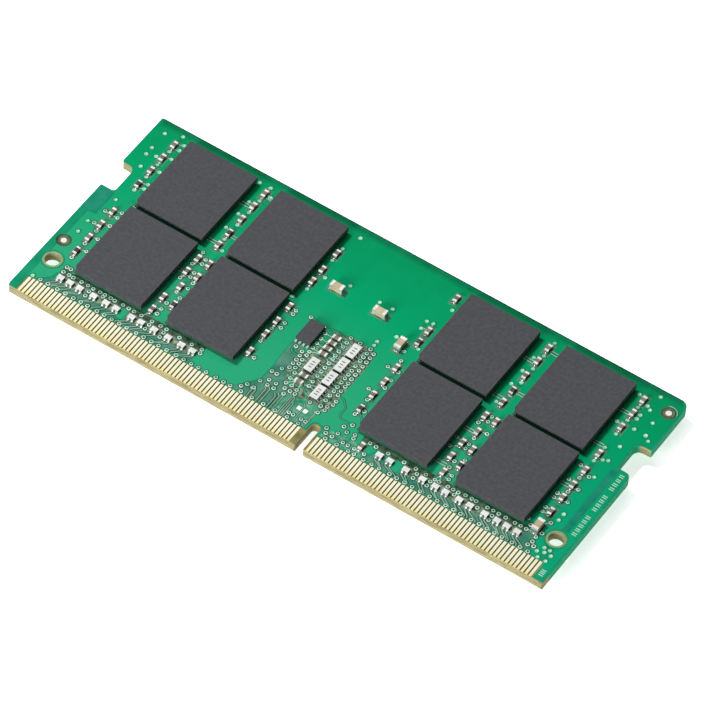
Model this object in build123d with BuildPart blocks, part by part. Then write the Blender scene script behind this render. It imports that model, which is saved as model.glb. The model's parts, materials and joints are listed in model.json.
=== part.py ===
"""Small-outline DDR4 memory module: a 260-contact card with packages on both faces.

Lengths are millimetres. Places on the card are given from its lower left corner,
with the contacts along the lower edge and the front face towards the reader.
The part's own origin is the middle of the card, at the level of the back packages'
faces, with +X along the card, +Y away from the contacts and +Z out of the front.
"""

from build123d import *

import os

os.makedirs("parts", exist_ok=True)

# Card outline
card_length = 69.6
card_width = 30.0
card_thickness = 1.2
mask_thickness = 0.04
notch_low = 18.0
notch_high = 22.1
notch_depth = 1.8
notch_low_radius = 0.4
notch_high_radius = 0.9
hole_diameter = 1.8
hole_inset = 1.95
hole_height = 6.0
bevel_run = 0.25
bevel_drop = 0.35

# Edge contacts, in two banks either side of the key slot
contact_pitch = 0.5
contact_width = 0.33
contact_low = 0.25
contact_high = 2.55
first_contact = 1.45
left_bank_count = 72
right_bank_count = 58
bank_gap = 2.5
slot_width = 1.0
slot_high = 3.85
slot_from_left_bank = 1.5

# Inner copper planes
plane_thickness = 0.035
plane_depth = 0.25
plane_margin = 0.5
plane_low = 3.2

# Memory packages
package_length = 11.0
package_width = 9.0
package_height = 1.1
package_corner = 0.5
ball_height = 0.3
ball_gap = 0.001
ball_radius = 0.225
ball_neck_radius = 0.17
ball_pitch = 0.8
ball_rows = 13
ball_columns = (-4, -3, -2, 2, 3, 4)
substrate_thickness = 0.2
die_width = 6.6
die_length = 9.0
die_thickness = 0.25
package_columns = (9.5, 21.65, 46.85, 59.25)
package_rows = (22.75, 11.1)

# Serial presence detect memory
spd_place = (30.8, 13.8)
spd_width = 1.85
spd_length = 3.0
spd_height = 0.6
spd_lead_width = 0.24
spd_lead_length = 0.4
spd_lead_height = 0.15
spd_lead_overhang = 0.2
spd_lead_pitch = 0.5

# Chip parts: length over the ends, width, height, length of one end
small_chip = (1.0, 0.5, 0.35, 0.25)
large_chip = (1.6, 0.8, 0.8, 0.35)
resistor_chip = (1.0, 0.5, 0.35, 0.2)
chip_recess = 0.02

# Resistor pairs and networks: extent across the ends, extent along them, height
pair_size = (0.6, 0.8, 0.35)
network_size = (1.0, 2.0, 0.4)
element_pitch = 0.5
end_width = 0.28
end_depth = 0.15

# Solder joints stand a little proud of the mask, and reach past the ends of each part
joint_height = 0.03
joint_margin = 0.14

# Bare copper marks and the mask's openings
fiducial_radius = 0.35
fiducial_relief = 0.33
fiducial_places = ((1.35, 8.95), (68.35, 27.6))
slot_relief = 0.15
hole_relief = 0.3
copper_clearance = 0.05
strip_left = 1.1
strip_right = 68.3
window_high = 2.6
window_corner = 0.3

# Levels
back_face = package_height
front_face = back_face + card_thickness
core_low = back_face + mask_thickness
core_high = front_face - mask_thickness

# Derived places on the card
slot_centre = first_contact + (left_bank_count - 1) * contact_pitch + slot_from_left_bank
right_bank_first = first_contact + (left_bank_count - 1) * contact_pitch + bank_gap

# Chip parts stand upright (0) or lie along the card (90)
cap_rows_high = [27.25, 24.95, 22.7, 20.25]
cap_rows_low = [15.3, 13.05, 10.75, 8.4]

front_capacitors = (
    [(3.45, y, 0) for y in cap_rows_high[:3] + cap_rows_low[:3]]
    + [(15.6, y, 0) for y in (27.35, 25.1, 22.8, 18.25, 10.9)]
    + [(14.9, y, 0) for y in (15.3, 13.1, 8.6, 6.5)]
    + [(16.35, y, 0) for y in (15.35, 13.1)]
    + [(26.85, y, 0) for y in (24.9, 22.05, 20.05, 15.6, 13.1, 10.9, 7.9)]
    + [(41.05, y, 0) for y in (27.3, 21.65, 15.3, 13.0, 10.7)]
    + [(53.0, y, 0) for y in (27.35, 25.15, 22.65, 18.1, 13.1, 6.35)]
    + [(52.5, y, 0) for y in (15.45, 10.9, 8.65)]
    + [(53.9, y, 0) for y in (15.4, 10.7)]
    + [(65.25, y, 0) for y in (27.35, 25.15, 22.8, 18.3, 15.5, 13.05, 10.95, 8.65)]
    + [(33.5, y, 90) for y in (14.95, 14.05, 13.15, 12.25, 8.5, 7.55)]
    + [(43.95, 4.1, 0)]
)
front_resistors = [(3.45, 20.25, 0), (15.6, 20.35, 0), (41.05, 19.75, 0), (53.0, 20.1, 0)]
front_resistors += [(3.45, 8.4, 0), (16.45, 8.35, 0), (41.0, 8.35, 0), (54.0, 8.15, 0)]
front_large_capacitors = [(29.65, 20.8, 90), (35.4, 20.65, 90), (39.65, 18.2, 0), (65.25, 6.1, 0)]

pair_row = 4.2
left_pair_columns = (4.3, 5.55, 6.85, 8.7, 10.35, 11.7, 13.75, 15.0, 16.75, 18.6, 20.35, 21.8)
right_pair_columns = (46.2, 47.55, 49.6, 51.75, 53.4, 54.7, 56.45, 57.8, 59.7, 61.25, 62.5, 63.8)
front_pairs = [(x, pair_row, 0) for x in left_pair_columns + right_pair_columns]
network_pitch = 2.33
front_networks = [(36.05, 14.4 - i * network_pitch, 0) for i in range(4)] + [(33.4, 10.2, 0)]
spare_joint_places = [(35.5, 4.65), (36.3, 4.65)]
spare_joint_size = 0.5

back_columns = (3.45, 15.5, 27.5, 41.0, 53.0, 65.2)
back_capacitors = [(x, y, 0) for x in back_columns for y in cap_rows_high + cap_rows_low]
back_resistors = [(x, 18.0, 0) for x in (15.5, 27.5, 41.0, 53.0)]
back_large_capacitors = [(30.5, 21.0, 90), (37.5, 21.0, 90)]
back_pairs = [(x, pair_row, 0) for x in left_pair_columns[:10] + right_pair_columns[2:]]
back_networks = [(31.5, 13.0 - i * network_pitch, 0) for i in range(3)]
back_networks += [(36.0, 13.0 - i * network_pitch, 0) for i in range(3)]


def on_card(x, y):
    """Turn a place measured from the card's lower left corner into part coordinates."""
    return x - card_length / 2, y - card_width / 2


def spots(places):
    """Locations for a list of (x, y, turn) places."""
    return [Location((*on_card(x, y), 0), (0, 0, turn)) for x, y, turn in places]


def moved(places, across, along):
    """Places shifted in each part's own frame: across its width, along its length."""
    shifted = []
    for x, y, turn in places:
        if turn == 90:
            shifted.append((x - along, y + across, turn))
        else:
            shifted.append((x + across, y + along, turn))
    return shifted


def save(builder, label):
    """Name one finished piece and write it."""
    builder.part.label = label
    export_step(builder.part, f"parts/{label}.step")


def level(face, height):
    """Plane parallel to the card, height above the named face and outside it."""
    if face == "front":
        return Plane.XY.offset(front_face + height)
    return Plane.XY.offset(back_face - height)


def outward(face, amount):
    """Signed extrusion that leaves the named face."""
    return amount if face == "front" else -amount


def card_outline():
    """Outline with latch notches, key slot and rounded corners."""
    slot_left = slot_centre - slot_width / 2
    slot_right = slot_centre + slot_width / 2
    corners = [
        (0, 0, 0.7),
        (slot_left, 0, 0.15),
        (slot_left, slot_high, 0.45),
        (slot_right, slot_high, 0.45),
        (slot_right, 0, 0.4),
        (card_length, 0, 0.25),
        (card_length, notch_low, 0.7),
        (card_length - notch_depth, notch_low, notch_low_radius),
        (card_length - notch_depth, notch_high, notch_high_radius),
        (card_length, notch_high, 0.15),
        (card_length, card_width, 1.0),
        (0, card_width, 0.2),
        (0, notch_high, 0.3),
        (notch_depth, notch_high, notch_high_radius),
        (notch_depth, notch_low, notch_low_radius),
        (0, notch_low, 0.15),
    ]
    points = [on_card(x, y) for x, y, _ in corners]
    radii = [radius for _, _, radius in corners]
    with BuildSketch() as outline:
        with BuildLine():
            FilletPolyline(*points, radius=radii, close=True)
        make_face()
        with Locations(*hole_places()):
            Circle(hole_diameter / 2, mode=Mode.SUBTRACT)
    return outline.sketch


def hole_places():
    """Centres of the two mounting holes."""
    return [on_card(hole_inset, hole_height), on_card(card_length - hole_inset, hole_height)]


# Circuit board


def inner_plane(low):
    """One inner copper plane, drawn back from every edge of the card."""
    with BuildPart() as plane:
        with BuildSketch(Plane.XY.offset(low)):
            add(card_outline())
            offset(amount=-plane_margin)
            with Locations(on_card(0, 0)):
                Rectangle(card_length, plane_low, align=Align.MIN, mode=Mode.SUBTRACT)
        extrude(amount=plane_thickness)
    return plane


def make_circuit_board():
    """Laminate core with a bevelled contact edge and cavities for the inner planes."""
    ground_low = core_low + plane_depth
    power_low = core_high - plane_depth - plane_thickness
    ground = inner_plane(ground_low)
    power = inner_plane(power_low)
    with BuildPart() as board:
        with BuildSketch(Plane.XY.offset(core_low)):
            add(card_outline())
        extrude(amount=core_high - core_low)
        for corner_height in (core_low, core_high):
            with BuildSketch(Plane.YZ.offset(-card_length / 2)):
                with BuildLine():
                    edge = -card_width / 2
                    inward = bevel_drop if corner_height == core_low else -bevel_drop
                    Polyline(
                        (edge, corner_height),
                        (edge + bevel_run, corner_height),
                        (edge, corner_height + inward),
                        close=True,
                    )
                make_face()
            extrude(amount=card_length, mode=Mode.SUBTRACT)
        add(ground.part, mode=Mode.SUBTRACT)
        add(power.part, mode=Mode.SUBTRACT)
    save(board, "circuit_board")
    save(ground, "ground_plane")
    save(power, "power_plane")


# Edge contacts


def make_contact_bank(face, label, first, count):
    """One row of gilded contacts, set in the mask's window."""
    middle = first + (count - 1) * contact_pitch / 2
    with BuildPart() as bank:
        with BuildSketch(level(face, 0)):
            with Locations(on_card(middle, (contact_low + contact_high) / 2)):
                with GridLocations(contact_pitch, 1, count, 1):
                    Rectangle(contact_width, contact_high - contact_low)
        extrude(amount=-outward(face, mask_thickness))
    save(bank, label)


# Solder joints and solder mask


def chip_joints(places, size):
    """Two joints under each chip part, as (x, y, turn, width, length)."""
    length, width, _, end = size
    joint_length = end + joint_margin
    reach = length / 2 + joint_margin - joint_length / 2
    joints = []
    for sign in (-1, 1):
        joints += [(*place, width, joint_length) for place in moved(places, 0, sign * reach)]
    return joints


def array_joints(places, size, elements):
    """Joints under the ends of each resistor array."""
    joint_length = end_depth + joint_margin
    reach = size[0] / 2 + joint_margin - joint_length / 2
    joints = []
    for element in range(elements):
        step = (element - (elements - 1) / 2) * element_pitch
        for sign in (-1, 1):
            joints += array_ends(places, step, sign * reach, elements, joint_length)
    return joints


def array_ends(places, step, reach, elements, length):
    """Ends of a pair face up and down the card, and ends of a network left and right."""
    if elements == 2:
        return [(*place, end_width, length) for place in moved(places, step, reach)]
    return [(*place, length, end_width) for place in moved(places, reach, step)]


def spd_lead_places():
    """Leads of the presence detect memory, four at each end."""
    leads = []
    reach = (spd_length + spd_lead_overhang) / 2
    for column in range(4):
        for sign in (-1, 1):
            x = spd_place[0] + (column - 1.5) * spd_lead_pitch
            leads.append((x, spd_place[1] + sign * reach, 0, spd_lead_width, spd_lead_length))
    return leads


def all_joints(face):
    """Every rectangular solder joint on one face."""
    if face == "front":
        joints = chip_joints(front_capacitors, small_chip)
        joints += chip_joints(front_resistors, resistor_chip)
        joints += chip_joints(front_large_capacitors, large_chip)
        joints += array_joints(front_pairs, pair_size, 2)
        joints += array_joints(front_networks, network_size, 4)
        joints += spd_lead_places()
        joints += [(x, y, 0, spare_joint_size, spare_joint_size) for x, y in spare_joint_places]
        return joints
    joints = chip_joints(back_capacitors, small_chip)
    joints += chip_joints(back_resistors, resistor_chip)
    joints += chip_joints(back_large_capacitors, large_chip)
    joints += array_joints(back_pairs, pair_size, 2)
    joints += array_joints(back_networks, network_size, 4)
    return joints


def draw_rectangles(rectangles, mode=Mode.ADD):
    """Draw (x, y, turn, width, length) rectangles in the open sketch."""
    for width, length in sorted({(entry[3], entry[4]) for entry in rectangles}):
        places = [entry[:3] for entry in rectangles if entry[3:] == (width, length)]
        with Locations(*spots(places)):
            Rectangle(width, length, mode=mode)


def make_joints(face):
    """Tinned solder joints of one face."""
    with BuildPart() as joints:
        with BuildSketch(level(face, 0)):
            draw_rectangles(all_joints(face))
        extrude(amount=outward(face, joint_height))
    save(joints, f"solder_joints_{face}")


def make_solder_mask(face):
    """Mask film of one face, open at the contacts, the key slot, the holes and the dots."""
    window_width = strip_right - strip_left
    window_middle = (strip_left + strip_right) / 2
    slot_opening = slot_width + 2 * slot_relief
    slot_round = slot_high - slot_width / 2
    with BuildPart() as mask:
        with BuildSketch(level(face, 0)):
            add(card_outline())
            with Locations(on_card(0, 0)):
                Rectangle(card_length, bevel_run, align=Align.MIN, mode=Mode.SUBTRACT)
            with Locations(on_card(window_middle, 0)):
                RectangleRounded(window_width, 2 * window_high, window_corner, mode=Mode.SUBTRACT)
            with Locations(on_card(slot_centre, slot_round)):
                Circle(slot_opening / 2, mode=Mode.SUBTRACT)
            with Locations(on_card(slot_centre, slot_round / 2)):
                Rectangle(slot_opening, slot_round, mode=Mode.SUBTRACT)
            with Locations(*hole_places()):
                Circle(hole_diameter / 2 + hole_relief, mode=Mode.SUBTRACT)
            if face == "front":
                with Locations(*[on_card(x, y) for x, y in fiducial_places]):
                    Circle(fiducial_radius + fiducial_relief, mode=Mode.SUBTRACT)
        extrude(amount=-outward(face, mask_thickness))
    save(mask, f"solder_mask_{face}")


def make_fiducials():
    """Two bare copper dots that placement machines line up with."""
    with BuildPart() as fiducials:
        with BuildSketch(level("front", 0)):
            with Locations(*[on_card(x, y) for x, y in fiducial_places]):
                Circle(fiducial_radius)
        extrude(amount=-mask_thickness)
    save(fiducials, "fiducials")


def make_hole_rings():
    """Bare copper collars round the mounting holes, on both faces."""
    with BuildPart() as rings:
        for face in ("front", "back"):
            with BuildSketch(level(face, 0)):
                with Locations(*hole_places()):
                    Circle(hole_diameter / 2 + hole_relief - copper_clearance)
                    Circle(hole_diameter / 2, mode=Mode.SUBTRACT)
            extrude(amount=-outward(face, mask_thickness))
    save(rings, "hole_rings")


# Memory packages


def package_places():
    """Package centres, in reading order."""
    return [on_card(x, y) for y in package_rows for x in package_columns]


def make_package_bodies(face):
    """Moulded bodies, one node each, with a bevelled first-pin corner and a die pocket."""
    body_low = ball_height + substrate_thickness
    body_height = package_height - body_low
    for number, place in enumerate(package_places(), start=1):
        with BuildPart() as body:
            with BuildSketch(level(face, body_low)) as profile:
                with Locations(place):
                    Rectangle(package_width, package_length)
                first_pin = profile.vertices().sort_by(Axis.X)[:2].sort_by(Axis.Y)[0]
                chamfer(first_pin, length=package_corner)
            extrude(amount=outward(face, body_height))
            with BuildSketch(level(face, body_low)):
                with Locations(place):
                    Rectangle(die_width, die_length)
            extrude(amount=outward(face, die_thickness), mode=Mode.SUBTRACT)
        save(body, f"memory_package_{face}_{number}")


def make_package_insides(face):
    """Silicon dies and the substrates that they sit on."""
    with BuildPart() as dies:
        with BuildSketch(level(face, ball_height + substrate_thickness)):
            with Locations(*package_places()):
                Rectangle(die_width, die_length)
        extrude(amount=outward(face, die_thickness))
    save(dies, f"silicon_dies_{face}")
    with BuildPart() as substrates:
        with BuildSketch(level(face, ball_height)):
            with Locations(*package_places()):
                Rectangle(package_width, package_length)
        extrude(amount=outward(face, substrate_thickness))
    save(substrates, f"package_substrates_{face}")


def make_solder_balls(face):
    """Reflowed balls, slightly barrel shaped, a hair clear of the card and the package."""
    ball_top = ball_height - ball_gap
    with BuildPart() as ball:
        with BuildSketch(Plane.XZ):
            with BuildLine():
                Line((0, ball_top), (0, ball_gap))
                Line((0, ball_gap), (ball_neck_radius, ball_gap))
                ThreePointArc(
                    (ball_neck_radius, ball_gap),
                    (ball_radius, ball_height / 2),
                    (ball_neck_radius, ball_top),
                )
                Line((ball_neck_radius, ball_top), (0, ball_top))
            make_face()
        revolve(axis=Axis.Z)
    low = front_face if face == "front" else back_face - ball_height
    places = []
    for x, y in package_places():
        for row in range(ball_rows):
            for column in ball_columns:
                row_offset = (row - (ball_rows - 1) / 2) * ball_pitch
                places.append((x + column * ball_pitch, y + row_offset, low))
    with BuildPart() as balls:
        with Locations(*places):
            add(ball.part)
    save(balls, f"solder_balls_{face}")


# Presence detect memory


def make_spd():
    """Small moulded memory with four leads at each end."""
    with BuildPart() as body:
        with BuildSketch(level("front", joint_height + spd_lead_height)):
            with Locations(on_card(*spd_place)):
                Rectangle(spd_width, spd_length)
        extrude(amount=spd_height - spd_lead_height)
    save(body, "spd_memory_body")
    with BuildPart() as leads:
        with BuildSketch(level("front", joint_height)):
            draw_rectangles(spd_lead_places())
        extrude(amount=spd_lead_height)
    save(leads, "spd_memory_leads")


# Chip parts


def make_chips(face, name, places, size):
    """Chip parts lying on one face: a body with a metal end at each side."""
    length, width, height, end = size
    with BuildPart() as bodies:
        with BuildSketch(level(face, joint_height + chip_recess)):
            with Locations(*spots(places)):
                Rectangle(width - 2 * chip_recess, length - 2 * end)
        extrude(amount=outward(face, height - 2 * chip_recess))
    save(bodies, f"{name}_bodies_{face}")
    with BuildPart() as ends:
        with BuildSketch(level(face, joint_height)):
            for sign in (-1, 1):
                with Locations(*spots(moved(places, 0, sign * (length - end) / 2))):
                    Rectangle(width, end)
        extrude(amount=outward(face, height))
    save(ends, f"{name}_ends_{face}")


def make_arrays(face, name, places, size, elements):
    """Resistor arrays: a ceramic block with metal ends let into two sides."""
    across, along, height = size
    ends_drawn = []
    for element in range(elements):
        step = (element - (elements - 1) / 2) * element_pitch
        for sign in (-1, 1):
            reach = sign * (across - end_depth) / 2
            ends_drawn += array_ends(places, step, reach, elements, end_depth)
    block = (along, across) if elements == 2 else (across, along)
    with BuildPart() as bodies:
        with BuildSketch(level(face, joint_height)):
            with Locations(*spots(places)):
                Rectangle(*block)
            draw_rectangles(ends_drawn, Mode.SUBTRACT)
        extrude(amount=outward(face, height))
    save(bodies, f"{name}_bodies_{face}")
    with BuildPart() as ends:
        with BuildSketch(level(face, joint_height)):
            draw_rectangles(ends_drawn)
        extrude(amount=outward(face, height))
    save(ends, f"{name}_ends_{face}")


make_circuit_board()
make_fiducials()
make_hole_rings()
make_spd()
for side in ("front", "back"):
    make_contact_bank(side, f"contacts_{side}_left", first_contact, left_bank_count)
    make_contact_bank(side, f"contacts_{side}_right", right_bank_first, right_bank_count)
    make_joints(side)
    make_solder_mask(side)
    make_package_bodies(side)
    make_package_insides(side)
    make_solder_balls(side)
make_chips("front", "capacitor", front_capacitors, small_chip)
make_chips("front", "large_capacitor", front_large_capacitors, large_chip)
make_chips("front", "resistor", front_resistors, resistor_chip)
make_arrays("front", "resistor_pair", front_pairs, pair_size, 2)
make_arrays("front", "resistor_network", front_networks, network_size, 4)
make_chips("back", "capacitor", back_capacitors, small_chip)
make_chips("back", "large_capacitor", back_large_capacitors, large_chip)
make_chips("back", "resistor", back_resistors, resistor_chip)
make_arrays("back", "resistor_pair", back_pairs, pair_size, 2)
make_arrays("back", "resistor_network", back_networks, network_size, 4)
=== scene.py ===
"""Looks of a small-outline memory module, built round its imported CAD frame.

The card lies front face up. Names ending in _MM are millimetres, and places on the card
are millimetres from its lower left corner, with the contacts along the lower edge.
"""

import json
import math
import random

import bmesh
import bpy
from mathutils import Matrix, Vector


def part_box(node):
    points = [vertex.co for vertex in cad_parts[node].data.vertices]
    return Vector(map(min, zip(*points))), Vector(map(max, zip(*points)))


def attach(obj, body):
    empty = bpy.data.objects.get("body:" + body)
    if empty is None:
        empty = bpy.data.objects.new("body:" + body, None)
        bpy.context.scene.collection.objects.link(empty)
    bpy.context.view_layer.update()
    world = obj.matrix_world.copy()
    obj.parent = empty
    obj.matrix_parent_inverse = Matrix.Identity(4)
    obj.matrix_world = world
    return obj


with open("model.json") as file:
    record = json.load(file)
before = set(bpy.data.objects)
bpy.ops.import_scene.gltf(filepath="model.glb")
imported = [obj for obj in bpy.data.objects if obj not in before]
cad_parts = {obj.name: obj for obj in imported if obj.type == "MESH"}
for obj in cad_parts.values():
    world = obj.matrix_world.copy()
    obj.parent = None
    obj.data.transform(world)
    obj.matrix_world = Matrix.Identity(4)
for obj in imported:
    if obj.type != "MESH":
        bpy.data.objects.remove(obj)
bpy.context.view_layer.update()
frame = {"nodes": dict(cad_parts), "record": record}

MM = 0.001

random.seed(7)

# Camera: a place, a point looked at, and a roll about the view line
CAMERA_PLACE = (0.21953, -0.37761, 0.54270)
CAMERA_TARGET = (0.00234, -0.00094, 0.0023)
CAMERA_ROLL = math.radians(4.69)
CAMERA_LENS_MM = 319.06
SENSOR_MM = 36.0

# Light: name, place, size and power of each panel
WORLD_STRENGTH = 0.06
LIGHTS = (
    ("key_panel", (-0.40, 0.05, 0.71), 0.14, 4.7),
    ("front_panel", (-0.12, -0.66, 0.22), 0.30, 5.6),
    ("back_panel", (-0.28, 0.48, 0.70), 0.50, 1.0),
)
FLOOR_COLOR = (0.93, 0.93, 0.93)
FLOOR_GLOW = 0.7
FLOOR_DROP_MM = 0.05

# Places on the card between which a colour fades into another: painted reflection on the contacts, and
# painted sheen on the copper areas, paler and redder towards the front edge and dimmed towards the right
GOLD_REFLECTION_FADE_MM = (1.3, 0.3)
POUR_SHEEN_FADES = (((0.0005, 0.33, 0.138), (29.0, 20.0)), ((0.022, 0.358, 0.176), (20.0, 8.0)))
RIGHT_SHEEN_DIM = (0.1, 0.94, 0.94)
RIGHT_SHEEN_FADE_MM = (45.0, 67.0)

# Laminate on faces that lie level is tinted darker than on its walls
LEVEL_LAMINATE_TINT = (0.86, 0.86, 0.66)

# Green lacquer covers the walls that look along the card's length, at its ends and notches only:
# the line beyond which it starts leans clear of the holes
LACQUERED_WALL = (0.002, 0.33, 0.15)
LACQUER_LINE_MM = 32.75
LACQUER_LINE_LEAN = 0.15

# Card levels and corner, from the frame
CARD_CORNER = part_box("circuit_board")[0]
FACE_LEVEL = {"front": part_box("solder_mask_front")[1].z, "back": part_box("solder_mask_back")[0].z}
FACE_SIGN = {"front": 1, "back": -1}

# Relief under and on the mask
POUR_HEIGHT_MM = 0.010
TRACE_HEIGHT_MM = 0.024
TRACE_WIDTH_MM = 0.12
CLEARANCE_HEIGHT_MM = 0.0125
CLEARANCE_WIDTH_MM = 0.32
VIA_RADIUS_MM = 0.24
VIA_HEIGHT_MM = 0.05
CONTACT_TOP = 2.7
INNER_MARGIN_HEIGHT_MM = 0.0145
GAP_FLOOR_MM = 0.006
GAP_INSET_MM = 0.01
PRINT_HEIGHT_MM = 0.018
NETWORK_PRINT_HEIGHT_MM = 0.004

# Kinds of small part, by the start of their nodes' names
CHIP_KINDS = ("capacitor", "large_capacitor", "resistor")
ARRAY_KINDS = ("resistor_pair", "resistor_network")

# Darker margins round each chip part, painted shade about it over the clearance in the copper: reach, height
# and finish
CHIP_SHADE_MARGINS = ((0.42, 0.0130, "mask_beside_chip"), (0.2, INNER_MARGIN_HEIGHT_MM, "mask_round_chip"))
CHIP_END_REACH_MM = 0.15

# Rings round each aiming dot: outer and inner radius of the bare collar and of the mask's edge
DOT_COLLAR_MM = (0.67, 0.36)
DOT_MARGIN_MM = (0.90, 0.69)

# Softened edges of the packages and of the small parts
PACKAGE_BEVEL_MM = 0.06
SMALL_BEVEL_MM = 0.04
BEVEL_SEGMENTS = 2
BEVEL_ANGLE = math.radians(40)

# Lacquers over what lies under them: the two colours between which each one wanders
MASK_COLORS = {
    "mask_over_laminate": ((0.005, 0.245, 0.122), (0.012, 0.29, 0.145)),
    "mask_over_copper": ((0.0002, 0.27, 0.095), (0.001, 0.295, 0.108)),
    "mask_over_trace": ((0.16, 0.46, 0.32), (0.28, 0.56, 0.42)),
    "mask_over_comb": ((0.15, 0.33, 0.23), (0.26, 0.42, 0.31)),
    "mask_over_strip": ((0.002, 0.20, 0.125), (0.02, 0.26, 0.16)),
    # The two lacquers round the chips are darker as painted shade about them
    "mask_beside_chip": ((0.04, 0.20, 0.11), (0.10, 0.27, 0.165)),
    "mask_round_chip": ((0.03, 0.06, 0.035), (0.11, 0.16, 0.10)),
    "mask_near_edge": ((0.0004, 0.22, 0.08), (0.002, 0.25, 0.095)),
    "mask_over_fan": ((0.032, 0.19, 0.125), (0.105, 0.28, 0.20)),
    "mask_over_edge": ((0.0006, 0.16, 0.06), (0.003, 0.20, 0.08)),
    "mask_clearance": ((0.022, 0.055, 0.033), (0.05, 0.095, 0.06)),
    "edge_shade": ((0.004, 0.035, 0.02), (0.01, 0.06, 0.035)),
    # Pale via rims and caps: partly the paler lacquer over the copper ring, partly painted highlight on the
    # raised rim
    "via_rim_highlight": ((0.38, 0.64, 0.50), (0.60, 0.82, 0.69)),
    "via_pit": ((0.01, 0.11, 0.06), (0.05, 0.20, 0.12)),
    "via_cap": ((0.18, 0.50, 0.33), (0.32, 0.66, 0.47)),
}
# Lacquers over crowded wiring: their two colours and the scale of the noise between them
WIRING_LOOKS = {
    "mask_over_wiring": ((0.015, 0.06, 0.03), (0.33, 0.39, 0.28), 2.4),
    # The via row's darkness is partly dense wiring, partly painted shadow under the lower packages
    "mask_over_via_row_and_shadow": ((0.015, 0.045, 0.025), (0.11, 0.16, 0.10), 1.9),
    "mask_over_lines": ((0.012, 0.20, 0.11), (0.15, 0.44, 0.27), 1.5),
}
LACQUER_ROUGHNESS = (0.30, 0.42)


# ---------------------------------------------------------------- scene around the card


def add_camera():
    """Long-lens camera."""
    data = bpy.data.cameras.new("view_camera")
    data.sensor_width = SENSOR_MM
    data.lens = CAMERA_LENS_MM
    data.clip_start = 0.01
    data.clip_end = 20.0
    camera = bpy.data.objects.new("view_camera", data)
    bpy.context.scene.collection.objects.link(camera)
    place = Vector(CAMERA_PLACE)
    sight = Vector(CAMERA_TARGET) - place
    turn = sight.to_track_quat("-Z", "Y").to_matrix().to_4x4()
    roll = Matrix.Rotation(CAMERA_ROLL, 4, "Z")
    camera.matrix_world = Matrix.Translation(place) @ turn @ roll
    bpy.context.scene.camera = camera


def add_floor():
    """Plain pale floor that the back packages rest on."""
    reach = 1.5
    mesh = bpy.data.meshes.new("floor")
    level = -FLOOR_DROP_MM * MM
    corners = [(x * reach, y * reach, level) for x, y in ((-1, -1), (1, -1), (1, 1), (-1, 1))]
    mesh.from_pydata(corners, [], [(0, 1, 2, 3)])
    paper = plain_material("floor_paper", FLOOR_COLOR, 0.9, specular=0.0)
    shader = paper.node_tree.nodes["Principled BSDF"]
    shader.inputs["Emission Color"].default_value = (1, 1, 1, 1)
    shader.inputs["Emission Strength"].default_value = FLOOR_GLOW
    mesh.materials.append(paper)
    floor = bpy.data.objects.new("floor", mesh)
    bpy.context.scene.collection.objects.link(floor)


def add_light(name, place, size, power):
    """Square area light aimed at the card."""
    data = bpy.data.lights.new(name, "AREA")
    data.size = size
    data.energy = power
    light = bpy.data.objects.new(name, data)
    light.location = place
    light.rotation_mode = "QUATERNION"
    light.rotation_quaternion = (-Vector(place)).to_track_quat("-Z", "Y")
    bpy.context.scene.collection.objects.link(light)


def add_world():
    """Even pale surroundings."""
    world = bpy.data.worlds.new("studio")
    world.use_nodes = True
    background = world.node_tree.nodes["Background"]
    background.inputs["Color"].default_value = (1, 1, 1, 1)
    background.inputs["Strength"].default_value = WORLD_STRENGTH
    bpy.context.scene.world = world


# ---------------------------------------------------------------- materials


def plain_material(name, color, roughness, metallic=0.0, specular=0.5):
    """Principled material with its uniform values set on the shader."""
    material = bpy.data.materials.new(name)
    material.use_nodes = True
    shader = material.node_tree.nodes["Principled BSDF"]
    shader.inputs["Base Color"].default_value = (*color, 1)
    shader.inputs["Roughness"].default_value = roughness
    shader.inputs["Metallic"].default_value = metallic
    shader.inputs["Specular IOR Level"].default_value = specular
    return material


def noise(tree, scale, detail, stretch=(1, 1, 1)):
    """Noise in the card's own millimetres, stretched along its sides."""
    coordinates = tree.nodes.new("ShaderNodeTexCoord")
    mapping = tree.nodes.new("ShaderNodeMapping")
    mapping.inputs["Scale"].default_value = tuple(factor / MM for factor in stretch)
    tree.links.new(coordinates.outputs["Object"], mapping.inputs["Vector"])
    texture = tree.nodes.new("ShaderNodeTexNoise")
    texture.inputs["Scale"].default_value = scale
    texture.inputs["Detail"].default_value = detail
    tree.links.new(mapping.outputs["Vector"], texture.inputs["Vector"])
    return texture.outputs["Fac"]


def ramp(tree, value, stops):
    """Colour ramp over a value, with stops of (position, colour)."""
    node = tree.nodes.new("ShaderNodeValToRGB")
    elements = node.color_ramp.elements
    while len(elements) < len(stops):
        elements.new(0.5)
    for element, (position, color) in zip(elements, stops):
        element.position = position
        element.color = (*color, 1)
    tree.links.new(value, node.inputs["Fac"])
    return node.outputs["Color"]


def spread(tree, value, low, high):
    """Map a noise value, which lies about its middle, on to low to high."""
    node = tree.nodes.new("ShaderNodeMapRange")
    node.inputs["From Min"].default_value = 0.3
    node.inputs["From Max"].default_value = 0.7
    node.inputs["To Min"].default_value = low
    node.inputs["To Max"].default_value = high
    tree.links.new(value, node.inputs["Value"])
    return node.outputs["Result"]


def bump(tree, shader, height, distance, strength=1.0):
    """Bump of a height field, with distance in metres."""
    node = tree.nodes.new("ShaderNodeBump")
    node.inputs["Strength"].default_value = strength
    node.inputs["Distance"].default_value = distance
    tree.links.new(height, node.inputs["Height"])
    tree.links.new(node.outputs["Normal"], shader.inputs["Normal"])


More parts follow.
